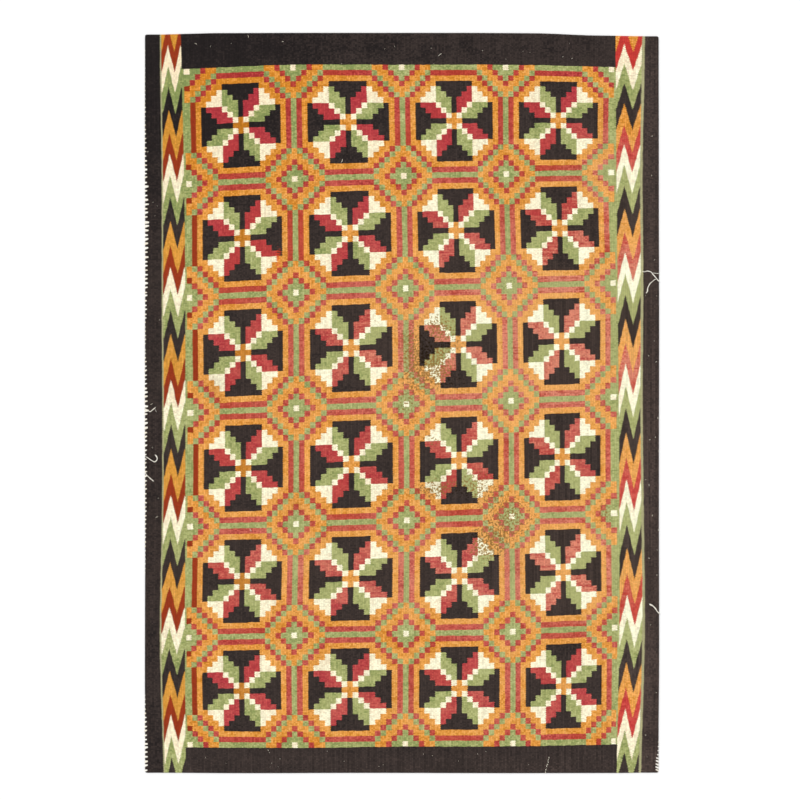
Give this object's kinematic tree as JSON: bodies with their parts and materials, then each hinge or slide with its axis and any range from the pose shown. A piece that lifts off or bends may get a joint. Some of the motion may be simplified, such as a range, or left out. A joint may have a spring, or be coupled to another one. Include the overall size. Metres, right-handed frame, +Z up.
{
  "type": "flat weave rug",
  "caption": "Flat-woven wool rug lying flat, with a lattice of stepped octagon medallions, zigzag side strips and plain dark bands all round.",
  "frame": {"origin": "centre of the cloth's bounding box at its underside, on the surface that the rug lies on", "axes": "+X across the rug with the weft, +Y along it with the warp towards the picture's upper end, +Z up out of its face"},
  "size_m": [1.372, 1.975, 0.0032],
  "materials": {
    "dyed_wool": "weft-faced tapestry weave in matt dyed wool: orange, crimson, leaf green, cream and black",
    "edge_yarn": "undyed twisted wool and cotton yarn: overcast edge stitches, loose thread ends and a small mend"
  },
  "bodies": {
    "root": {"woven_cloth": "dyed_wool"}
  },
  "joints": []
}
